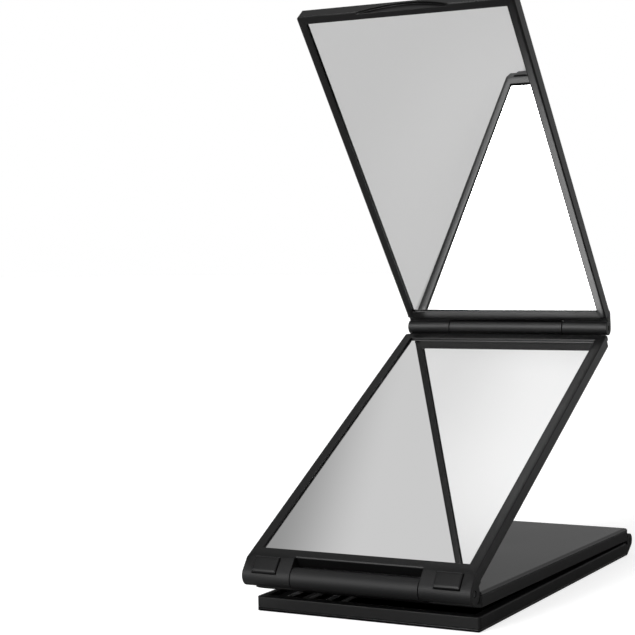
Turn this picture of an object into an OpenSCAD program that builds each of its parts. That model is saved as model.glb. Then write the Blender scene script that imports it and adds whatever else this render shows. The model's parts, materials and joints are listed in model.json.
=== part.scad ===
/* [Panels] */
// width of the base and top panels across the hinges
panel_w = 86; // [80:1:120]
// how far the two link panels stand out past them at each side
link_side = 0.6; // [0:0.1:1]
// thickness of every panel
panel_t = 5.5; // [5.2:0.1:7]
// distance between the two hinge axes of each link panel
link_len = 154.5; // [120:0.5:200]
// how much shorter the end panels are than a link, so that the buttons stay free when folded
end_short = 5; // [4.5:0.5:10]
// distance from each panel face to its hinge axis, half the gap between folded faces
half_gap = 0.3; // [0.25:0.05:0.5]
// radius of the outer corners of a panel
corner_r = 1.2; // [0.8:0.1:2.5]
// size of the small bevel on the outer edges
edge_bevel = 0.4; // [0.2:0.05:0.5]
// rounding of the edges round the back of a panel
back_round = 0.9; // [0.5:0.1:1.1]
// width of the frame beside the mirror of the base and top panels
stile_w = 3.1; // [2.6:0.1:6]
// depth of the mirror face below the frame face
mirror_recess = 0.9; // [0.6:0.1:1.1]

/* [Inside a panel] */
// thickness of the mirror glass
glass_t = 1.5; // [1.2:0.1:1.6]
// thickness of the adhesive pad under the glass
pad_t = 0.4; // [0.3:0.05:0.5]
// thickness of the back cover
cover_t = 1.2; // [1:0.1:1.4]
// gap all round the glass in its frame
glass_clear = 0.1; // [0.05:0.05:0.2]
// diameter of the pegs that hold the back cover
peg_d = 2.4; // [2:0.2:3]
// gap round each peg in its hole
peg_clear = 0.05; // [0.02:0.01:0.1]

/* [Mirror side hinges] */
// outer diameter of the rear and upper hinge knuckles
knuckle_d = 5.5; // [5.2:0.1:6]
// width of the middle knuckle or barrel of each hinge
centre_w = 49; // [36:1:52]
// gap beside each knuckle
side_clear = 0.3; // [0.2:0.05:0.5]
// diameter of the rear and upper hinge pins
pin_d = 1.8; // [1.6:0.1:2]
// radial running clearance of the hinge pins
pin_fit = 0.04; // [0.02:0.01:0.08]
// wall of the slit friction sleeves
sleeve_wall = 0.6; // [0.4:0.05:0.7]
// length of each friction sleeve
sleeve_len = 12; // [8:1:16]
// distance from a mirror side hinge axis to the edge of the mirror
hinge_rail = 7.8; // [6.8:0.1:12]
// depth of the groove between the frame face and the knuckles
hinge_groove = 1; // [0.6:0.1:1.2]
// gap between a knuckle and the panel that turns round it
knuckle_gap = 0.3; // [0.2:0.05:0.5]

/* [Front hinge] */
// outer diameter of the front hinge barrel and lugs
barrel_d = 7.5; // [7.2:0.1:8]
// diameter of the front hinge pin
front_pin_d = 2.4; // [2:0.1:2.5]
// distance from the front hinge axis to the end of the second panel
lug_swing = 5.2; // [5.2:0.1:10]
// distance from the front hinge axis to the edge of the slot in the third panel
slot_edge = 4.4; // [4.4:0.1:5.2]
// distance from the front hinge axis to the edge of the third mirror
front_rail = 8.2; // [8:0.1:12]

/* [Buttons] */
// width of each release button
button_w = 9.5; // [7:0.5:10.5]
// distance from the middle of each button to the side of the third panel
button_inset = 8.7; // [8:0.1:9.5]
// height of the button above the bevel of its lug
button_raise = 0.9; // [0.85:0.05:1]
// travel of each button
button_travel = 0.8; // [0.5:0.05:0.8]
// slope of the bevel that carries the button
bevel_angle = 24; // [23:0.5:25]
// gap round each button in its opening
button_clear = 0.15; // [0.1:0.05:0.25]
// outer diameter of the button springs
spring_d = 1.6; // [1.5:0.1:1.7]
// wire diameter of the button springs
spring_wire = 0.25; // [0.2:0.05:0.3]

/* [Thumb notch] */
// width of the notch in the free edge of the top panel
notch_w = 37; // [20:1:50]
// depth of the notch below the free edge
notch_depth = 0.9; // [0.5:0.1:1.5]
// how far the notch reaches back from the frame face
notch_back = 4; // [2.5:0.1:4]

/* [Hidden] */
open_rear = 0.8;
open_front = 29.3;
open_upper = 81.1;
tilt_second = 180 - open_rear;
tilt_third = open_front - open_rear;
tilt_top = tilt_third + 180 - open_upper;
w2 = panel_w/2;
wl = w2 + link_side;
end_len = link_len - end_short;
rear_y = end_len/2;
front_t = panel_t - cover_t;
floor_t = front_t - mirror_recess - glass_t - pad_t;
back_gap = panel_t + half_gap;
knuckle_r = knuckle_d/2;
barrel_r = barrel_d/2;
pin_r = pin_d/2;
front_pin_r = front_pin_d/2;
end_clear = 1.6*knuckle_r;
end_near = 0.47*knuckle_r;
link_clear = 1.745*knuckle_r;
rail_t = 1.78*knuckle_r;
slope_start = 2.73*panel_t;
slope_rise = 0.055*panel_t;
c2 = centre_w/2;
s2 = side_clear/2;
lug_x = wl - button_inset;
lug_root = 1.52*barrel_r;
meet = 0.9986;
bevel_top = (back_gap - meet*barrel_r/cos(bevel_angle))/tan(bevel_angle);
sleeve_r = pin_r + pin_fit + sleeve_wall;
axis_rear = [0, rear_y, panel_t + half_gap];
axis_front = [0,
    axis_rear[1] + link_len*cos(tilt_second) + 2*back_mid()*sin(tilt_second),
    axis_rear[2] + link_len*sin(tilt_second) - 2*back_mid()*cos(tilt_second)];
axis_upper = [0,
    axis_front[1] + link_len*cos(tilt_third) - 2*back_mid()*sin(tilt_third),
    axis_front[2] + link_len*sin(tilt_third) + 2*back_mid()*cos(tilt_third)];
peg_inset = 2.6*stile_w;
pad_inset = stile_w/2;
pin_inset = 0.14*pin_d;
chamber_r = 0.76*barrel_r;
cap_low = 0.587*barrel_r;
cap_front = 0.24*barrel_r;
cap_rear = 1.387*barrel_r;
cap_edge = 0.08*barrel_r;
spring_r = spring_d/2;
spring_y = -chamber_r - spring_r - 2.3*button_clear;
spring_seat = -0.107*barrel_r;
spring_in = 0.213*barrel_r;
shoe_back = 0.627*barrel_r;
shoe_front = 0.36*barrel_r;
notch_r = (notch_w*notch_w/4 + notch_back*notch_back)/(2*notch_back);
$fn = 48;

// half the distance between the two hinge axes of a link, measured through its thickness
function back_mid() = (panel_t + 2*half_gap)/2;
function on_circle(r, a) = [r*cos(a), r*sin(a)];
// where a line from the point p grazes a circle of radius r round the origin, a hair inside it
function graze(p, r, side) = on_circle(meet*r, atan2(p[1], p[0]) + side*acos(meet*r/norm(p)));
// points of an arc round the centre c
function arc(c, r, a0, a1, n) = [for (i = [0:n]) c + on_circle(r, a0 + (a1 - a0)*i/n)];

// a flat outline in the length and thickness plane, drawn out across the panel
module across(x0, x1) {
    translate([x0, 0, 0]) rotate([90, 0, 90]) linear_extrude(x1 - x0) children();
}

// a round bar or bore across the panel
module bar(r, x0, x1) {
    translate([x0, 0, 0]) rotate([0, 90, 0]) cylinder(r = r, h = x1 - x0);
}

// a rectangle with four rounded corners, in the plane of the panel
module rounded(x, y0, y1, r0, r1) {
    polygon(concat(
        arc([x - r1, y1 - r1], r1, 0, 90, 6),
        arc([-x + r1, y1 - r1], r1, 90, 180, 6),
        arc([-x + r0, y0 + r0], r0, 180, 270, 6),
        arc([x - r0, y0 + r0], r0, 270, 360, 6)));
}

// the outer block of a panel of half width w, with bevelled face edges and rounded back edges
module block(w, y0, y1, r0, r1, b0) {
    e = edge_bevel;
    b = back_round;
    t = panel_t;
    intersection() {
        translate([0, 0, -t]) linear_extrude(t) rounded(w, y0, y1, r0, r1);
        translate([0, y1, 0]) rotate([90, 0, 0]) linear_extrude(y1 - y0)
            polygon(concat([[w, -e], [w - e, 0], [-w + e, 0], [-w, -e]],
                arc([-w + b, -t + b], b, 180, 270, 2), arc([w - b, -t + b], b, 270, 360, 2)));
        across(-w, w)
            polygon(concat([[y0, 0], [y1 - e, 0], [y1, -e]],
                arc([y1 - b, -t + b], b, 360, 270, 2),
                b0 > 0 ? arc([y0 + b0, -t + b0], b0, 270, 180, 2) : [[y0, -t]]));
    }
}

// keeps the part of its child between two heights
module between(z0, z1) {
    intersection() {
        children();
        translate([-2*panel_w, -2*link_len, z0]) cube([4*panel_w, 4*link_len, z1 - z0]);
    }
}

// the outer block of an end panel, its back sloping gently up to the hinge
module end_block() {
    s = slope_rise;
    difference() {
        block(w2, end_clear, end_len, 1.5*edge_bevel, corner_r, 0);
        across(-w2 - 1, w2 + 1)
            polygon([[end_clear - 1, -panel_t - 1], [slope_start, -panel_t - 1], [slope_start, -panel_t],
                [end_clear, -panel_t + s], [end_clear - 1, -panel_t + s]]);
    }
}

// the outer block of a link panel that ends at y1
module link_block(y1, r1) {
    block(wl, link_clear, y1, 1.5*edge_bevel, r1, back_round);
}

// the stretch of a frame that reaches in beside the knuckle of its neighbour
module near_end(x0, x1) {
    across(x0, x1)
        polygon([[end_near, -front_t], [link_clear + 1, -front_t], [link_clear + 1, 0], [end_near, 0]]);
}

// the space in which the knuckle of the neighbour turns
module knuckle_room(x0, x1) {
    translate([0, 0, half_gap]) bar(knuckle_r + knuckle_gap, x0, x1);
}

// the groove between the frame face and the knuckles
module rail_groove() {
    g = hinge_groove;
    across(-wl - 1, wl + 1)
        polygon([[rail_t + 1, 1], [rail_t, 0], [rail_t - g, -g], [-2*knuckle_r, -g], [-2*knuckle_r, 1]]);
}

// the pocket for the glass and its pad, from one mirror edge to the other
module glass_pocket(y0, y1) {
    depth = mirror_recess + glass_t + pad_t;
    translate([-w2 + stile_w, y0, -depth]) cube([panel_w - 2*stile_w, y1 - y0, depth + 1]);
}

// the glass of a panel
module glass(y0, y1) {
    g = glass_clear;
    x = w2 - stile_w - g;
    translate([-x, y0 + g, -mirror_recess - glass_t]) cube([2*x, y1 - y0 - 2*g, glass_t]);
}

// the adhesive pad between glass and frame, a little smaller than the glass
module glass_pad(y0, y1) {
    x = w2 - stile_w - pad_inset;
    translate([-x, y0 + pad_inset, -mirror_recess - glass_t - pad_t])
        cube([2*x, y1 - y0 - 2*pad_inset, pad_t]);
}

// the six places of the pegs that hold a back cover
module at_pegs(y0, y1) {
    p = peg_inset;
    for (x = [-w2 + p, w2 - p], y = [y0 + p, (y0 + y1)/2, y1 - p])
        translate([x, y, 0]) children();
}

module peg_holes(y0, y1) {
    at_pegs(y0, y1) translate([0, 0, -front_t - 1])
        cylinder(d = peg_d + 2*peg_clear, h = 1 + 0.93*floor_t, $fn = 24);
}

module pegs(y0, y1) {
    at_pegs(y0, y1) translate([0, 0, -front_t - cover_t/4])
        cylinder(d = peg_d, h = cover_t/4 + 0.86*floor_t, $fn = 24);
}

// the web that carries an outer knuckle of an end panel
module end_web(x0, x1) {
    r = knuckle_r;
    p = [0.873*r, -0.827*panel_t - half_gap];
    q = graze(p, r, -1);
    across(x0, x1)
        polygon([[end_clear + 1, 0], [0, 0], [q[0], q[1] + half_gap],
            [0.764*r, -0.791*panel_t], [1.09*r, -0.887*panel_t], [end_clear, -panel_t + slope_rise],
            [end_clear, -front_t], [end_clear + 1, -front_t]]);
}

// the web that carries the middle knuckle of a link panel
module link_web(x0, x1) {
    p = [link_clear, -front_t - half_gap];
    q = graze(p, knuckle_r, -1);
    across(x0, x1)
        polygon([[link_clear + 1, 0], [0, 0], [q[0], q[1] + half_gap],
            [link_clear, -front_t], [link_clear + 1, -front_t]]);
}

// a knuckle of the rear or upper hinge
module knuckle(x0, x1) {
    translate([0, 0, half_gap]) bar(knuckle_r, x0, x1);
}

// the bore of a middle knuckle, wide at both ends for the friction sleeves
module sleeve_bore() {
    translate([0, 0, half_gap]) {
        bar(pin_r + 0.2, -c2 - 1, c2 + 1);
        bar(sleeve_r + 0.02, -c2 - 1, -c2 + s2 + sleeve_len);
        bar(sleeve_r + 0.02, c2 - s2 - sleeve_len, c2 + 1);
    }
}

// the frame of an end panel, hinged at its mirror side
module end_frame() {
    y1 = end_len - stile_w;
    difference() {
        union() {
            difference() {
                union() {
                    between(-front_t, 0) end_block();
                    near_end(-c2 - s2, c2 + s2);
                    end_web(-w2, -c2 - s2);
                    end_web(c2 + s2, w2);
                }
                rail_groove();
                knuckle_room(-c2 - s2, c2 + s2);
            }
            knuckle(-w2, -c2 - s2);
            knuckle(c2 + s2, w2);
        }
        glass_pocket(hinge_rail, y1);
        peg_holes(hinge_rail, y1);
        translate([0, 0, half_gap]) bar(pin_r + 0.02, -w2 - 1, w2 + 1);
    }
}

// the scoop for a thumb, open to the free edge and to the mirror face
module thumb_notch() {
    translate([0, end_len + 1, notch_r - notch_back]) rotate([90, 0, 0])
        cylinder(r = notch_r, h = notch_depth + 1, $fn = 180);
}

module end_cover() {
    between(-panel_t, -front_t) end_block();
    pegs(hinge_rail, end_len - stile_w);
}

// the frame of a link panel up to y1, with its middle knuckle
module link_half(y1, r1) {
    in = wl - 3*edge_bevel;
    difference() {
        union() {
            between(-front_t, 0) link_block(y1, r1);
            near_end(-in, -c2 + s2);
            near_end(c2 - s2, in);
            link_web(-c2 + s2, c2 - s2);
        }
        rail_groove();
        knuckle_room(-wl - 1, -c2 + s2);
        knuckle_room(c2 - s2, wl + 1);
    }
    knuckle(-c2 + s2, c2 - s2);
}

// the frame of the second panel, with the barrel of the front hinge
module link_frame_barrel() {
    y1 = link_len - lug_swing;
    p = [-lug_swing, back_gap - 1.25*edge_bevel];
    q = graze(p, barrel_r, -1);
    difference() {
        union() {
            link_half(y1, 2*edge_bevel);
            translate([0, link_len, -back_gap]) {
                bar(barrel_r, -c2 + s2, c2 - s2);
                across(-c2 + s2, c2 - s2)
                    polygon([[-lug_swing - 1, cover_t + half_gap], [-lug_swing, cover_t + half_gap],
                        [-lug_swing, half_gap], [-1, half_gap], q, p, [-lug_swing - 1, p[1]]]);
            }
        }
        glass_pocket(hinge_rail, y1 - stile_w);
        peg_holes(hinge_rail, y1 - stile_w);
        sleeve_bore();
        translate([0, link_len, -back_gap]) bar(front_pin_r + 0.02, -c2 - 1, c2 + 1);
    }
}

module link_cover_barrel() {
    y1 = link_len - lug_swing;
    between(-panel_t, -front_t) link_block(y1, 2*edge_bevel);
    pegs(hinge_rail, y1 - stile_w);
}

// one lug of the third panel, bevelled for its button and rounded about the hinge
module lug(x0, x1) {
    q = on_circle(meet*barrel_r, 90 - bevel_angle);
    e = edge_bevel;
    intersection() {
        translate([0, link_len, -back_gap]) {
            bar(barrel_r, x0, x1);
            across(x0, x1)
                polygon([[-lug_root - 1, back_gap], [-bevel_top, back_gap], q, [0, 0],
                    [-barrel_r*0.9, half_gap], [-lug_root, half_gap],
                    [-lug_root, half_gap + cover_t], [-lug_root - 1, half_gap + cover_t]]);
        }
        translate([0, link_len + 10, 0]) rotate([90, 0, 0]) linear_extrude(30)
            polygon([[wl - e, 0], [-wl + e, 0], [-wl, -e], [-wl, -20], [wl, -20], [wl, -e]]);
    }
}

// moves to the hinge axis at a button, with z along its travel
module at_button(x) {
    translate([x, link_len, -back_gap]) rotate([-bevel_angle, 0, 0]) children();
}

// the opening, the chamber and the spring hole for one button
module button_cavity() {
    g = button_clear;
    x = button_w/2 + g;
    low = cap_low - button_travel - g;
    bar(chamber_r, -x, x);
    translate([-x, -cap_rear - g, low]) cube([2*x, cap_rear + cap_front + 2*g, 8]);
    translate([0, spring_y, spring_seat]) cylinder(r = spring_r + g, h = 4, $fn = 32);
}

// the frame of the third panel, with its slot and its two lugs
module link_frame_lugs() {
    difference() {
        union() {
            link_half(link_len - slot_edge, 1.5*edge_bevel);
            lug(-wl, -c2 - s2);
            lug(c2 + s2, wl);
        }
        glass_pocket(hinge_rail, link_len - front_rail);
        peg_holes(hinge_rail, link_len - front_rail);
        sleeve_bore();
        translate([0, link_len, -back_gap]) bar(front_pin_r + pin_fit, -wl - 1, wl + 1);
        at_button(lug_x) button_cavity();
        at_button(-lug_x) button_cavity();
    }
}

module link_cover_lugs() {
    difference() {
        between(-panel_t, -front_t) link_block(link_len - slot_edge, 1.5*edge_bevel);
        translate([-wl - 1, link_len - lug_root, -panel_t - 1]) cube([wl + 1 - c2, 10, panel_t]);
        translate([c2, link_len - lug_root, -panel_t - 1]) cube([wl + 1 - c2, 10, panel_t]);
    }
    pegs(hinge_rail, link_len - front_rail);
}

// the visible cap of a button, with a blind hole for its spring
module button_cap() {
    x = button_w/2;
    e = cap_edge;
    top = barrel_r + button_raise;
    difference() {
        intersection() {
            translate([-x, 0, 0]) rotate([90, 0, 90]) linear_extrude(button_w)
                polygon([[-cap_rear, cap_low], [cap_front, cap_low], [cap_front, top - 2*e],
                    [cap_front - e, top - e/2], [cap_front - 3*e, top], [-cap_rear + e, top],
                    [-cap_rear, top - e]]);
            translate([0, cap_front + 1, 0]) rotate([90, 0, 0]) linear_extrude(cap_rear + cap_front + 2)
                polygon([[-x, cap_low - 1], [x, cap_low - 1], [x, top - e], [x - e, top],
                    [-x + e, top], [-x, top - e]]);
        }
        translate([0, spring_y, cap_low - 1])
            cylinder(r = spring_r + button_clear, h = 1 + spring_in, $fn = 32);
    }
}

// the hook under the cap that holds the hinge pin until the button is pressed
module lock_shoe() {
    r = chamber_r - button_clear;
    c = [0, button_travel];
    x = 0.44*button_w;
    a0 = 180 + acos(shoe_back/r);
    translate([-x, 0, 0]) rotate([90, 0, 90]) linear_extrude(2*x)
        polygon(concat([[-shoe_front, cap_low], [-shoe_back, cap_low]],
            arc(c, r, a0, 290, 8),
            arc([0, 0], front_pin_r + 0.05, 300, 180, 10),
            [[-shoe_front, cap_edge]]));
}

// one flat turn of spring wire after another, from the seat up to the cap
module button_spring() {
    turns = 5;
    low = spring_seat + spring_wire/2;
    high = cap_low + spring_in - spring_wire/2;
    for (i = [0:turns])
        translate([0, spring_y, low + (high - low)*i/turns])
            rotate_extrude($fn = 24) translate([spring_r - spring_wire/2, 0])
                circle(d = spring_wire, $fn = 8);
    for (i = [0:turns - 1])
        translate([(spring_r - spring_wire/2)*(i%2 == 0 ? 1 : -1), spring_y,
            low + (high - low)*i/turns])
            cylinder(d = spring_wire*0.8, h = (high - low)/turns, $fn = 8);
}

// two slit tubes that grip the pin inside a middle knuckle
module sleeves() {
    for (x0 = [-c2 + s2, c2 - s2 - sleeve_len])
        difference() {
            bar(sleeve_r, x0, x0 + sleeve_len);
            bar(pin_r + pin_fit, x0 - 1, x0 + sleeve_len + 1);
            translate([x0 - 1, -sleeve_wall/2, 0]) cube([sleeve_len + 2, sleeve_wall, knuckle_d]);
        }
}

// a plain pin out to the half width w, its ends just inside the cheeks
module pin(r, w) {
    bar(r, -w + pin_inset, w - pin_inset);
}

module place_base() {
    translate([0, rear_y, panel_t]) rotate([0, 0, 180]) children();
}

module place_second() {
    translate(axis_rear) rotate([tilt_second, 0, 0]) translate([0, 0, -half_gap]) children();
}

module place_third() {
    translate(axis_upper) rotate([tilt_third, 0, 0]) rotate([0, 0, 180])
        translate([0, 0, -half_gap]) children();
}

module place_top() {
    translate(axis_upper) rotate([tilt_top, 0, 0]) translate([0, 0, -half_gap]) children();
}

module base_frame() {
    color("dimgray") place_base() end_frame();
}

module base_mirror() {
    color("lightblue") place_base() glass(hinge_rail, end_len - stile_w);
}

module base_mirror_pad() {
    color("white") place_base() glass_pad(hinge_rail, end_len - stile_w);
}

module base_cover() {
    color("gray") place_base() end_cover();
}

module second_frame() {
    color("dimgray") place_second() link_frame_barrel();
}

module second_mirror() {
    color("lightblue") place_second() glass(hinge_rail, link_len - lug_swing - stile_w);
}

module second_mirror_pad() {
    color("white") place_second() glass_pad(hinge_rail, link_len - lug_swing - stile_w);
}

module second_cover() {
    color("gray") place_second() link_cover_barrel();
}

module third_frame() {
    color("dimgray") place_third() link_frame_lugs();
}

module third_mirror() {
    color("lightblue") place_third() glass(hinge_rail, link_len - front_rail);
}

module third_mirror_pad() {
    color("white") place_third() glass_pad(hinge_rail, link_len - front_rail);
}

module third_cover() {
    color("gray") place_third() link_cover_lugs();
}

module top_frame() {
    color("dimgray") place_top() difference() {
        end_frame();
        thumb_notch();
    }
}

module top_mirror() {
    color("lightblue") place_top() glass(hinge_rail, end_len - stile_w);
}

module top_mirror_pad() {
    color("white") place_top() glass_pad(hinge_rail, end_len - stile_w);
}

module top_cover() {
    color("gray") place_top() end_cover();
}

module rear_hinge_pin() {
    color("silver") translate(axis_rear) pin(pin_r, w2);
}

module rear_friction_sleeves() {
    color("orange") translate(axis_rear) rotate([tilt_second, 0, 0]) sleeves();
}

module front_hinge_pin() {
    color("silver") translate(axis_front) pin(front_pin_r, wl);
}

module upper_hinge_pin() {
    color("silver") translate(axis_upper) pin(pin_r, w2);
}

module upper_friction_sleeves() {
    color("orange") translate(axis_upper) rotate([tilt_third, 0, 0]) sleeves();
}

module left_button_cap() {
    color("black") place_third() at_button(lug_x) button_cap();
}

module left_lock_shoe() {
    color("tomato") place_third() at_button(lug_x) lock_shoe();
}

module left_button_spring() {
    color("silver") place_third() at_button(lug_x) button_spring();
}

module right_button_cap() {
    color("black") place_third() at_button(-lug_x) button_cap();
}

module right_lock_shoe() {
    color("tomato") place_third() at_button(-lug_x) lock_shoe();
}

module right_button_spring() {
    color("silver") place_third() at_button(-lug_x) button_spring();
}

base_frame();
base_mirror();
base_mirror_pad();
base_cover();
second_frame();
second_mirror();
second_mirror_pad();
second_cover();
third_frame();
third_mirror();
third_mirror_pad();
third_cover();
top_frame();
top_mirror();
top_mirror_pad();
top_cover();
rear_hinge_pin();
rear_friction_sleeves();
front_hinge_pin();
upper_hinge_pin();
upper_friction_sleeves();
left_button_cap();
left_lock_shoe();
left_button_spring();
right_button_cap();
right_lock_shoe();
right_button_spring();
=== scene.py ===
"""Four-way folding mirror: looks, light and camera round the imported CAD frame."""
import json
import math

import bmesh
import bpy
import numpy as np
from mathutils import Matrix, Vector


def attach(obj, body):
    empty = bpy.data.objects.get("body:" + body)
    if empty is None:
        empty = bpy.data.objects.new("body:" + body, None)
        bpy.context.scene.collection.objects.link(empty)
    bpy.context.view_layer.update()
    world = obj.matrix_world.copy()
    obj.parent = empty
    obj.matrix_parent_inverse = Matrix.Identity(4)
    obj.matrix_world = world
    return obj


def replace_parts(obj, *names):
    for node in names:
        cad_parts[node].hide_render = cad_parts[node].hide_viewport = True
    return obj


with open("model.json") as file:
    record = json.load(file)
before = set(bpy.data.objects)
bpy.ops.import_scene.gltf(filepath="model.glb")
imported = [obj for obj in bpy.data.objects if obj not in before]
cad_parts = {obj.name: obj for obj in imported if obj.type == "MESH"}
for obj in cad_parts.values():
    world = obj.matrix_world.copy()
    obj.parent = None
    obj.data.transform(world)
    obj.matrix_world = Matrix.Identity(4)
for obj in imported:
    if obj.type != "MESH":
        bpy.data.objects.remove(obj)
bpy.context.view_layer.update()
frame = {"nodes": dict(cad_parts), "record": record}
NODES = frame["nodes"]


# ---------------------------------------------------------------- shader maths

class Sock:
    """One shader socket. Python's operators on it add Math nodes to its tree."""

    def __init__(self, tree, out):
        self.tree, self.out = tree, out

    def math(self, op, *args, swap=False):
        n = self.tree.nodes.new("ShaderNodeMath")
        n.operation = op
        args = [self, *args]
        if swap:
            args = args[::-1]
        for i, a in enumerate(args):
            if isinstance(a, Sock):
                self.tree.links.new(a.out, n.inputs[i])
            else:
                n.inputs[i].default_value = a
        return Sock(self.tree, n.outputs[0])

    def __add__(self, o): return self.math("ADD", o)
    def __radd__(self, o): return self.math("ADD", o)
    def __sub__(self, o): return self.math("SUBTRACT", o)
    def __rsub__(self, o): return self.math("SUBTRACT", o, swap=True)
    def __mul__(self, o): return self.math("MULTIPLY", o)
    def __rmul__(self, o): return self.math("MULTIPLY", o)
    def __truediv__(self, o): return self.math("DIVIDE", o)
    def __rtruediv__(self, o): return self.math("DIVIDE", o, swap=True)
    def __pow__(self, o): return self.math("POWER", o)
    def __neg__(self): return self.math("MULTIPLY", -1.0)

    def clamp(self):
        n = self.math("ADD", 0.0)
        n.out.node.use_clamp = True
        return n

    def ramp(self, lo, hi):
        """0 below lo, 1 above hi and a smooth step between them."""
        t = ((self - lo) / (hi - lo)).clamp()
        return t * t * (3.0 - 2.0 * t)


class Tree:
    """A node tree with one method that makes any node."""

    def __init__(self, tree):
        self.tree = tree
        tree.nodes.clear()

    def fill(self, socket, value):
        """Links a Sock to a node's input, or sets the input to a plain value."""
        if isinstance(value, Sock):
            self.tree.links.new(value.out, socket)
        else:
            socket.default_value = value

    def add(self, kind, settings=None, out=0, **inputs):
        """Makes a node, sets what it is, then fills the sockets named in inputs, or numbered, as i0 and i1."""
        n = self.tree.nodes.new("ShaderNode" + kind)
        for k, v in (settings or {}).items():
            setattr(n, k, v)
        for k, v in inputs.items():
            self.fill(n.inputs[int(k[1:])] if k[0] == "i" and k[1:].isdigit() else n.inputs[k.replace("_", " ")], v)
        return Sock(self.tree, n.outputs[out]) if n.outputs else None

    def outputs(self, sock, *which):
        """More outputs of the node that sock belongs to."""
        return [Sock(self.tree, sock.out.node.outputs[k]) for k in which]

    def split(self, vector):
        return self.outputs(self.add("SeparateXYZ", i0=vector), 0, 1, 2)

    def grey(self, level):
        """A neutral colour from one value."""
        return self.add("CombineColor", i0=level, i1=level, i2=level)

    def mix(self, factor, a, b):
        """Mixes two colours."""
        return self.add("Mix", {"data_type": "RGBA"}, out=2, i0=factor, i6=(*a, 1.0), i7=(*b, 1.0))

    def noise(self, vector, scale, detail=2.0, rough=0.5):
        return self.add("TexNoise", Vector=vector, Scale=scale, Detail=detail, Roughness=rough)

    def finish(self, **sockets):
        """Closes a material with one Principled shader."""
        self.add("OutputMaterial", Surface=self.add("BsdfPrincipled", **sockets))

    def rays(self):
        """1 for rays that see the white background, from the camera or through glass, and 1 for rays of shine."""
        path = self.add("LightPath")
        clear, shine = self.outputs(path, "Is Transmission Ray", "Is Glossy Ray")
        return (path + clear).clamp(), shine


def new_material(name):
    """A material, its tree and the position on the piece in metres."""
    m = bpy.data.materials.new(name)
    m.use_nodes = True
    t = Tree(m.node_tree)
    return m, t, t.add("TexCoord", out=3)


def even(level):
    """A fixed neutral colour."""
    return level, level, level, 1.0


# ------------------------------------------------------------------- materials

def moulded_plastic(name, tone, rough, dull=0.0, edge=0.0007):
    """Satin black moulded plastic: fine spark-eroded grain, edges softened by edge, a faint cloudy change of gloss.

    Roughness is rough, with 0.06 of cloud and 0.03 of finer change, and dull more at the height of the table,
    where hands and the table rub, fading out over the lowest 80 mm. The attribute groove adds 0.4 in the hinge
    grooves, which are unpolished, and 0.14 on the barrels, which are handled most, and makes both a little greyer.
    """
    m, t, p = new_material(name)
    z = t.split(p)[2]
    cloud, fine, mid = t.noise(p, 35.0, 3.0, 0.55), t.noise(p, 2600.0), t.noise(p, 700.0, rough=0.6)
    groove = t.add("Attribute", {"attribute_name": "groove"}, out=2)
    grey = tone * (0.85 + 0.3 * cloud) + 0.012 * groove
    gloss = rough - 0.04 + 0.06 * cloud + 0.03 * mid + dull * (1.0 - z.ramp(0.015, 0.08)) + 0.4 * groove
    bump = t.add("Bump", Strength=0.25, Distance=0.00004, Height=0.7 * fine + 0.3 * mid,
                 Normal=t.add("Bevel", {"samples": 6}, Radius=edge))
    t.finish(Base_Color=t.add("CombineColor", i0=grey, i1=grey, i2=1.03 * grey), Roughness=gloss.clamp(),
             IOR=1.33, Normal=bump)
    return m


def silvered_mirror():
    """A clean silvered face with hardly visible wiping marks in its gloss."""
    m, t, p = new_material("silvered_mirror")
    wipe = t.noise(t.add("Mapping", Vector=p, Scale=(18.0, 60.0, 60.0)), 1.0, 3.0, 0.6)
    t.finish(Base_Color=even(0.935), Metallic=1.0, Roughness=0.004 + 0.012 * wipe.ramp(0.5, 0.8))
    return m


def drawn_steel(name, tone, rough):
    """Drawn steel with faint lines along the rod."""
    m, t, p = new_material(name)
    line = t.noise(t.add("Mapping", Vector=p, Scale=(120.0, 4000.0, 4000.0)), 1.0)
    t.finish(Base_Color=even(tone), Metallic=1.0, Roughness=(rough - 0.08 + 0.16 * line).clamp())
    return m


def mottled(name, scale, dark, light, rough):
    """A pale material whose tone wavers between dark and light."""
    m, t, p = new_material(name)
    t.finish(Base_Color=t.mix(t.noise(p, scale), dark, light), Roughness=rough)
    return m


BY_SLOT = {
    "frame_plastic": moulded_plastic("frame_plastic", 0.0018, 0.3, 0.12, 0.0004),
    "cover_plastic": moulded_plastic("cover_plastic", 0.0022, 0.2),
    "button_plastic": moulded_plastic("button_plastic", 0.002, 0.34, 0.12, 0.0004),
    "mirror_glass": silvered_mirror(),
    "pin_steel": drawn_steel("pin_steel", 0.06, 0.34),
    "spring_steel": drawn_steel("spring_steel", 0.45, 0.35),
    # white foam tape with open cells
    "adhesive_foam": mottled("foam_tape", 1500.0, (0.7, 0.7, 0.66), (0.85, 0.85, 0.8), 0.9),
    # natural acetal, milky and smooth
    "shoe_plastic": mottled("acetal", 300.0, (0.72, 0.72, 0.68), (0.8, 0.8, 0.77), 0.4),
}
for part in frame["record"]["subparts"]:
    for slot in NODES[part["node"]].material_slots:
        slot.material = BY_SLOT[part["material_slot"]]


# ---------------------------------------------------------- places, millimetres

def turn_x(degrees):
    """Matrix of a turn about x."""
    c, s = math.cos(math.radians(degrees)), math.sin(math.radians(degrees))
    return np.array([[1, 0, 0, 0], [0, c, -s, 0], [0, s, c, 0], [0, 0, 0, 1.0]])


def move(x, y, z):
    """Matrix of a shift."""
    m = np.eye(4)
    m[:3, 3] = x, y, z
    return m


AXIS_UP = 0.3  # height of a mirror-side hinge axis above the frame's face


def panel(axis, tilt, turned):
    """Matrix from a panel's own frame to the row frame.

    In a panel's own frame x runs across, y away from its mirror-side hinge and z out of its mirror side, with the
    frame's face at z = 0 and the hinge axis AXIS_UP above it.
    """
    flip = np.diag([-1.0, -1.0, 1.0, 1.0]) if turned else np.eye(4)
    return move(*axis) @ turn_x(tilt) @ flip @ move(0, 0, -AXIS_UP)


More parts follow.
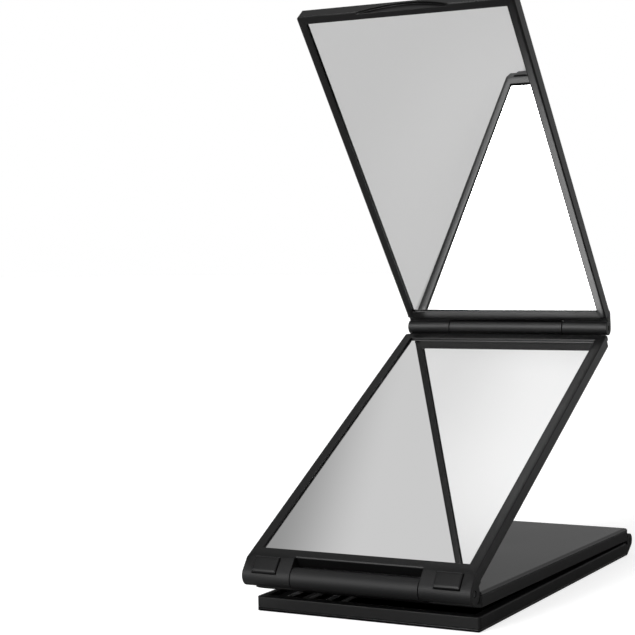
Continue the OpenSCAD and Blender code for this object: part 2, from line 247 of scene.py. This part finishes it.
# the row as it stands: two hinge axes, and each panel's turn about x in degrees
REAR, UPPER = (0, 74.75, 5.8), (0, 53.2168, 93.1384)
PANEL = {"base": panel(REAR, 0.0, True), "second": panel(REAR, 179.2, False),
         "third": panel(UPPER, 28.5, True), "top": panel(UPPER, 127.4, False)}
LINKED = "second", "third"  # the panels with a hinge at both ends

# sizes in a panel's own frame
STILE, HALF = 3.1, 43.0  # a frame's width beside the glass, and half an end panel's width
NEAR_GLASS, FAR_GLASS = 7.8, {False: 146.4, True: 146.3}  # where the glass begins and, unlinked or linked, ends
END, EDGE = 149.5, 0.9  # length of an end panel, and the width of the last rounding at outer edges
LINK, BACK_AXIS = 154.5, -5.8  # place of the back-side hinge axis along and below a linked panel
BARREL, GROOVE, FRONT_BARREL = 2.95, 4.85, 3.85  # radii round a hinge axis
LIP, LIP_HALF, KNUCKLE_HALF = 4.93, 40.5, 24.6  # the groove's lip, half its length and half the middle knuckle's
DEPTH = 0.45  # how far below its face a frame is reshaped


# ---------------------------------------------------------------- mesh helpers

def into(m, p):
    """Points p through matrix m."""
    return p @ m[:3, :3].T + m[:3, 3]


def step(v, lo, hi):
    """0 below lo, 1 above hi, smooth between."""
    t = np.clip((v - lo) / (hi - lo), 0, 1)
    return t * t * (3 - 2 * t)


def quads(rows, columns, closed):
    """Faces of a grid whose points are numbered row by row. Closed, its last column joins the first."""
    i, j = np.meshgrid(np.arange(rows - 1), np.arange(columns if closed else columns - 1), indexing="ij")
    k = (j + 1) % columns
    a, b = i * columns, (i + 1) * columns
    return np.stack([a + j, a + k, b + k, b + j], -1).reshape(-1, 4).tolist()


def merged(node):
    """A CAD node's corner points in millimetres and its triangles, with coinciding points made one."""
    me = node.data
    co = np.empty(3 * len(me.vertices))
    me.vertices.foreach_get("co", co)
    me.calc_loop_triangles()
    tri = np.empty(3 * len(me.loop_triangles), dtype=np.int32)
    me.loop_triangles.foreach_get("vertices", tri)
    key, where = np.unique(np.round(co.reshape(-1, 3) * 1e7).astype(np.int64), axis=0, return_inverse=True)
    tri = where.reshape(-1)[tri].reshape(-1, 3)
    whole = (tri[:, 0] != tri[:, 1]) & (tri[:, 1] != tri[:, 2]) & (tri[:, 2] != tri[:, 0])
    return key * 1e-4, tri[whole]


def linked(name, data):
    """A new object in the scene, at the origin."""
    o = bpy.data.objects.new(name, data)
    bpy.context.scene.collection.objects.link(o)
    return o


def make(name, points, faces, body, slot, sharp):
    """Links a mesh piece with its place in its mesh, smooth but for edges sharper than sharp degrees."""
    me = bpy.data.meshes.new(name)
    me.from_pydata((points * 0.001).tolist(), [], faces)
    me.shade_smooth()
    me.set_sharp_from_angle(angle=math.radians(sharp))
    me.materials.append(BY_SLOT[slot])
    o = linked(name, me)
    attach(o, body)
    return o


def reshaped(name, node, place, cuts, shift, body, slot):
    """A copy of a CAD node, cut along planes of its own frame, its points then moved by shift(points).

    Returns the piece and its points in that frame before the move. A cut is an axis number and a place on it.
    """
    co, tri = merged(NODES[node])
    me = bpy.data.meshes.new(name + "_raw")
    me.from_pydata(into(np.linalg.inv(place), co).tolist(), [], tri.tolist())
    b = bmesh.new()
    b.from_mesh(me)
    for axis, at in cuts:
        middle, normal = [0.0, 0.0, 0.0], [0.0, 0.0, 0.0]
        middle[axis], normal[axis] = at, 1.0
        bmesh.ops.bisect_plane(b, geom=b.verts[:] + b.edges[:] + b.faces[:], dist=1e-4,
                               plane_co=middle, plane_no=normal)
    bmesh.ops.triangulate(b, faces=b.faces[:])
    b.to_mesh(me)
    b.free()
    p = np.empty(3 * len(me.vertices))
    me.vertices.foreach_get("co", p)
    tri = np.empty(3 * len(me.polygons), dtype=np.int32)
    me.polygons.foreach_get("vertices", tri)
    p = p.reshape(-1, 3)
    bpy.data.meshes.remove(me)
    o = make(name, into(place, p + shift(p)), tri.reshape(-1, 3).tolist(), body, slot, 28.0)
    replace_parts(o, node)
    return o, p


# ---------------------------------------------------------------- panel pieces

def crown(link):
    """Moves a frame's flat face into a crowned one, as moulded rails have. Lengths are millimetres.

    Stile: falls by 0.1 s^2, s being 0 at the glass and 1 at the outer edge, and by 0.12 more over the last 0.9,
    again as a square. Far rail of an end panel: falls by 0.12 f^2, f growing from 0 at the glass to 1 in 2.5, and
    by 0.12 more over the last 0.9. Far rail of a linked panel: falls towards the glass by 0.12 (1 - f)^2. Hinge
    rail: falls from its groove towards the glass by 0.3 (v - v^2 / 2), v being 0 at the groove and 1 at the glass,
    and that fades out along the stiles. Points lower than DEPTH stay. The lip of the hinge groove is drawn 1.7
    towards the barrel, and 0.8 beyond the middle knuckle.
    """
    far_glass = FAR_GLASS[link]

    def shift(p):
        x, t, n = abs(p[:, 0]), p[:, 1], p[:, 2]
        side = np.clip((x - HALF + STILE) / STILE, 0, 1)
        far = np.clip((t - far_glass) / 2.5, 0, 1)
        rail = 1 - np.clip((NEAR_GLASS - t) / 2.85, 0, 1)
        end = 0.12 * (1 - far) ** 2 * (t > far_glass - 1e-3) if link else 0.12 * far ** 2
        drop = np.maximum(0.1 * side ** 2, end)
        drop = drop + 0.12 * np.clip((x - HALF + EDGE) / EDGE, 0, 1) ** 2
        if not link:
            drop = drop + 0.12 * np.clip((t - END + EDGE) / EDGE, 0, 1) ** 2
        fade = (1 - step(x, HALF - STILE, HALF - 1.4)) * (1 - step(t, NEAR_GLASS, 9.6)) * (t > 4.9)
        drop = np.maximum(drop, 0.3 * (rail - 0.5 * rail ** 2) * fade)
        lip = (abs(t - LIP) < 0.1) & (abs(n) < 0.06) & (x < LIP_HALF)
        out = np.zeros_like(p)
        out[:, 1] = np.where(lip, np.where(x < KNUCKLE_HALF, -1.7, -0.8), 0.0)
        out[:, 2] = -drop * np.clip((n + DEPTH) / DEPTH, 0, 1) * (n < 0.02)
        return out
    return shift


def frames():
    """The four moulded frames with crowned rails and soft shading over their edges.

    Their attribute groove is 1 in the groove round the mirror-side hinge's barrel, between BARREL and GROOVE from
    its axis, and 0.35 on the barrel and on the front hinge's, within FRONT_BARREL of the back-side axis.
    """
    for who in PANEL:
        link = who in LINKED
        cuts = [(0, k * v) for k in (-1, 1) for v in (39.9, 40.4, 41.0, 41.6, 42.2)]
        cuts += [(1, v) for v in (4.95, 5.6, 6.3, 7.0, NEAR_GLASS, 8.7, 9.6)]
        cuts += [(1, FAR_GLASS[link] + v) for v in (0.0, 0.6, 1.2, 1.8, 2.4)]
        cuts += [(0, k * v) for k in (-1, 1) for v in (24.4, 24.9)]
        o, p = reshaped(who + "_rim", who + "_frame", PANEL[who], cuts, crown(link), who + "_panel", "frame_plastic")
        near = np.hypot(p[:, 1], p[:, 2] - AXIS_UP)
        far = np.hypot(p[:, 1] - LINK, p[:, 2] - BACK_AXIS)
        mark = 0.35 * (near < BARREL) + 1.0 * ((near > BARREL) & (near < GROOVE)) + 0.35 * (far < FRONT_BARREL)
        o.data.attributes.new("groove", "FLOAT", "POINT").data.foreach_set("value", mark)


def cap_shift(p):
    """Lets a cap's top fall off softly, by 0.1 u^4 + 0.1 v^4, u and v being 1 at the ends of its half sizes."""
    u, v = abs(p[:, 0]) / 4.75, abs(p[:, 1] + 2.15) / 3.05
    out = np.zeros_like(p)
    out[:, 2] = -(0.1 * u ** 4 + 0.1 * v ** 4) * step(p[:, 2], 3.8, 4.3)
    return out


def caps():
    """The two button caps, reshaped by cap_shift in a frame on the front hinge's axis, square to the bevel."""
    cuts = [(0, v) for v in (-4.3, -3.7, -2.8, -1.5, 0.0, 1.5, 2.8, 3.7, 4.3)]
    cuts += [(1, v) for v in (-4.8, -4.2, -3.3, -2.15, -1.0, -0.1, 0.4)]
    for who, x in (("left", 34.9), ("right", -34.9)):
        reshaped(who + "_button", who + "_button_cap", PANEL["third"] @ move(x, LINK, BACK_AXIS) @ turn_x(-24.0),
                 cuts, cap_shift, who + "_button", "button_plastic")


def ground_glass(who):
    """A mirror glass with rounded corners and ground edges.

    Rings round a rounded rectangle, inset and height (0.5, 0), (0.18, 0), (0, 0.18), (0, t - 0.18), (0.18, t) and
    (0.5, t) from the back to the face, closed by one flat face on each side.
    """
    node = who + "_mirror"
    p = into(np.linalg.inv(PANEL[who]), merged(NODES[node])[0])
    lo, hi = p.min(0), p.max(0)
    t = hi[2] - lo[2]
    corner = 1.0  # radius of the corners
    cx, cy = 0.5 * (hi[0] - lo[0]) - corner, 0.5 * (hi[1] - lo[1]) - corner
    a = np.linspace(0, 0.5 * np.pi, 7)
    corners = ((1, 1, 0.0), (-1, 1, 0.5 * np.pi), (-1, -1, np.pi), (1, -1, 1.5 * np.pi))
    rings = []
    for inset, h in ((0.5, 0), (0.18, 0), (0, 0.18), (0, t - 0.18), (0.18, t), (0.5, t)):
        r = corner - inset
        rings.append(np.concatenate([
            np.stack([sx * cx + r * np.cos(a + k), sy * cy + r * np.sin(a + k), np.full(7, h)], -1)
            for sx, sy, k in corners]))
    m, last = len(rings[0]), len(rings) - 1
    q = np.concatenate(rings) + [0.5 * (lo[0] + hi[0]), 0.5 * (lo[1] + hi[1]), lo[2]]
    faces = quads(len(rings), m, True) + [list(range(m))[::-1], [last * m + v for v in range(m)]]
    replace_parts(make(who + "_glass", into(PANEL[who], q), faces, who + "_panel", "mirror_glass", 20.0), node)


def turned_pin(node, body):
    """A hinge pin: a profile of chamfered, lightly dished ends turned about the x axis through its node's middle."""
    co = merged(NODES[node])[0]
    lo, hi = co.min(0), co.max(0)
    r, y, z = 0.5 * (hi[2] - lo[2]), 0.5 * (lo[1] + hi[1]), 0.5 * (lo[2] + hi[2])
    c = 0.22 * r  # width of the chamfer
    half = [(hi[0] - 0.5 * c, 0.0), (hi[0] - 0.35 * c, 0.35 * r), (hi[0], r - 1.6 * c), (hi[0], r - c), (hi[0] - c, r)]
    profile = np.array(half + [(lo[0] + hi[0] - x, v) for x, v in half[::-1]])
    n, k = 40, len(profile) - 2
    x, ang = np.meshgrid(profile[1:-1, 0], np.linspace(0, 2 * np.pi, n, endpoint=False), indexing="ij")
    rad = np.repeat(profile[1:-1, 1:2], n, 1)
    p = np.stack([x, y + rad * np.cos(ang), z + rad * np.sin(ang)], -1).reshape(-1, 3)
    p = np.concatenate([p, [[profile[0, 0], y, z], [profile[-1, 0], y, z]]])
    faces = quads(k, n, True)
    faces += [[k * n, (v + 1) % n, v] for v in range(n)]
    faces += [[k * n + 1, (k - 1) * n + v, (k - 1) * n + (v + 1) % n] for v in range(n)]
    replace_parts(make(node + "_turned", p, faces, body, "pin_steel", 35.0), node)


frames()
caps()
for who in PANEL:
    ground_glass(who)
for node, body in (("rear_hinge_pin", "base_panel"), ("front_hinge_pin", "second_panel"),
                   ("upper_hinge_pin", "top_panel")):
    turned_pin(node, body)


# ---------------------------------------------------------------- stage, light

def floor():
    """A wide plain pale floor at the height of the table top: a flat square grid.

    The camera sees it lifted to the white of the background, and a shine a good way off sees painted light: the card
    lifted towards white. Close by, a shine sees the bare card with the object's shadow, a painted grey shade at the
    right, and painted shade near black along the base's left side and before its front.
    """
    n = 33
    u = np.linspace(-4.0, 4.0, n)
    x, y = np.meshgrid(u, u)
    me = bpy.data.meshes.new("floor")
    me.from_pydata(np.stack([x, y, np.zeros_like(x)], -1).reshape(-1, 3).tolist(), [], quads(n, n, False))
    m, t, p = new_material("floor_card")
    me.materials.append(m)
    x, y, _ = t.split(p)
    away = (x * x + y * y) ** 0.5
    direct, shine = t.rays()

    def blend(factor, a, b):
        return t.add("MixShader", i0=factor, i1=a, i2=b)

    # lifted is the card plus white emission: the white background to the camera, painted light to shine rays
    def lifted(level):
        return t.add("AddShader", i0=card, i1=t.add("Emission", Color=even(1.0), Strength=level))

    # card is the bare floor; grey and shade are painted shade colours that only shine rays see
    card, grey, shade = (t.add("BsdfDiffuse", Color=even(v)) for v in (0.505, 0.15, 0.006))

    # painted light for shine rays: the floor glows, lifted towards white, far in front, behind at the left, and a
    # little beyond the shadow
    pool = 0.5 + 0.5 * (1.0 - (x / (y - 0.001)).ramp(0.4, 0.6))
    front = away.ramp(0.2, 0.5) * (1.0 - y.ramp(-0.3, 0.0)) * pool * (1.0 - 0.35 * away.ramp(0.8, 1.9))
    rear = 0.4 * y.ramp(0.02, 0.25) * (1.0 - x.ramp(0.0, 0.04))
    near = 0.2 * (1.0 - away.ramp(0.07, 0.16))
    seen = blend((shine * (front + rear + near)).clamp(), card, lifted(0.4))
    seen = blend(direct, seen, lifted(0.66))

    # painted shade for shine rays: near-black colour along the base's left side, as far as the top mirror doesn't see
    # it, and before its front
    left = (1.0 - (-x - 0.342 * y).ramp(0.0765, 0.0805)) * (-x).ramp(0.0, 0.04) * y.ramp(-0.085, -0.075)
    foot = x.ramp(-0.045, -0.04) * (1.0 - x.ramp(0.1, 0.15)) * y.ramp(-0.15, -0.13) * (1.0 - y.ramp(-0.07, -0.06))
    painted_shade_mask = shine * (left * (1.0 - y.ramp(0.05, 0.08)) + foot).clamp()
    seen = blend((0.995 * painted_shade_mask).clamp(), seen, shade)

    # painted shade for shine rays: a grey floor at the right, fading further off
    side = shine * x.ramp(0.02, 0.045) * (1.0 - 0.6 * x.ramp(0.06, 0.14)) * (1.0 - 0.75 * away.ramp(0.1, 3.0))
    t.add("OutputMaterial", Surface=blend(side, seen, grey))
    linked("floor", me)


def sky():
    """Studio surround: white behind the object, and for light and shine a grey room with one soft light in front.

    Level by direction (x, y, z): a soft front light right of x = -0.4 that ends near the zenith, a weaker spill
    left of it, a ceiling whose left edge lies at x / z = -0.6, and dim corners low at the left rear and high at
    the left front.
    """
    w = bpy.data.worlds.new("studio")
    bpy.context.scene.world = w
    w.use_nodes = True
    t = Tree(w.node_tree)
    x, y, z = t.split(t.add("TexCoord", out=0))
    front = 1.0 - y.ramp(-0.5, 0.15)
    light = 13.0 * x.ramp(-0.43, -0.39) * (1.0 - x.ramp(-0.2, 0.1))
    light = light * z.ramp(-0.01, 0.18) * (1.0 - z.ramp(0.56, 0.70)) * front
    spill = 1.5 * x.ramp(-0.53, -0.43) * z.ramp(-0.1, 0.15) * (1.0 - z.ramp(0.42, 0.7)) * front
    ceiling = 0.33 * (x / (z.clamp() + 0.001)).ramp(-0.635, -0.555) * z.ramp(0.5, 0.75)
    right_rear = 0.25 * x.ramp(0.1, 0.3) * y.ramp(0.5, 0.8)
    left_rear = 0.297 * (1.0 - x.ramp(-0.45, -0.40)) * y.ramp(0.6, 0.8) * (1.0 - z.ramp(0.25, 0.45))
    left_front = 0.22 * (1.0 - x.ramp(-0.5, -0.38)) * (1.0 - y.ramp(-0.1, 0.15)) * z.ramp(0.5, 0.7)
    room = 0.3 + right_rear - left_rear - left_front
    studio = t.add("Background", Color=t.grey(room + ceiling + spill + light), Strength=1.0)
    white = t.add("Background", Color=even(1.0), Strength=1.0)
    direct, _ = t.rays()
    t.add("OutputWorld", Surface=t.add("MixShader", i0=direct, i1=studio, i2=white))


def lamp(name, at, to, size, power):
    """A soft lamp for shade and shadow. What shines sees the surround's light in its place."""
    data = bpy.data.lights.new(name, "AREA")
    data.shape, data.energy = "RECTANGLE", power
    data.size, data.size_y = size
    o = linked(name, data)
    o.matrix_world = Matrix.Translation(at) @ (Vector(to) - Vector(at)).to_track_quat("-Z", "Y").to_matrix().to_4x4()
    o.visible_glossy = False


def camera(at, yaw, pitch, roll, f_px, frame_px):
    """A camera at a place, with yaw to the left and pitch upwards in degrees, and its focal length in pixels."""
    yaw, pitch, roll = (math.radians(a) for a in (yaw, pitch, roll))
    forward = Vector((-math.sin(yaw) * math.cos(pitch), math.cos(yaw) * math.cos(pitch), math.sin(pitch)))
    right = Vector((math.cos(yaw), math.sin(yaw), 0.0))
    up = right.cross(forward)
    r = math.cos(roll) * right + math.sin(roll) * up
    u = -math.sin(roll) * right + math.cos(roll) * up
    data = bpy.data.cameras.new("camera")
    data.sensor_width = 36.0
    data.lens = f_px * data.sensor_width / frame_px
    data.clip_start, data.clip_end = 0.01, 20.0
    o = linked("camera", data)
    o.matrix_world = Matrix(list(zip(r, u, -forward, at)) + [(0, 0, 0, 1)])
    bpy.context.scene.camera = o


floor()
sky()
lamp("key", (-0.45, -1.5, 1.6), (0, 0, 0.05), (0.5, 0.9), 12.0)
# the photograph's camera, solved from its edges
camera((0.273374, -0.590082, 0.133591), 29.295, -2.855, -1.323, 1722.98, 635.0)
bpy.context.scene.view_settings.view_transform = "Standard"
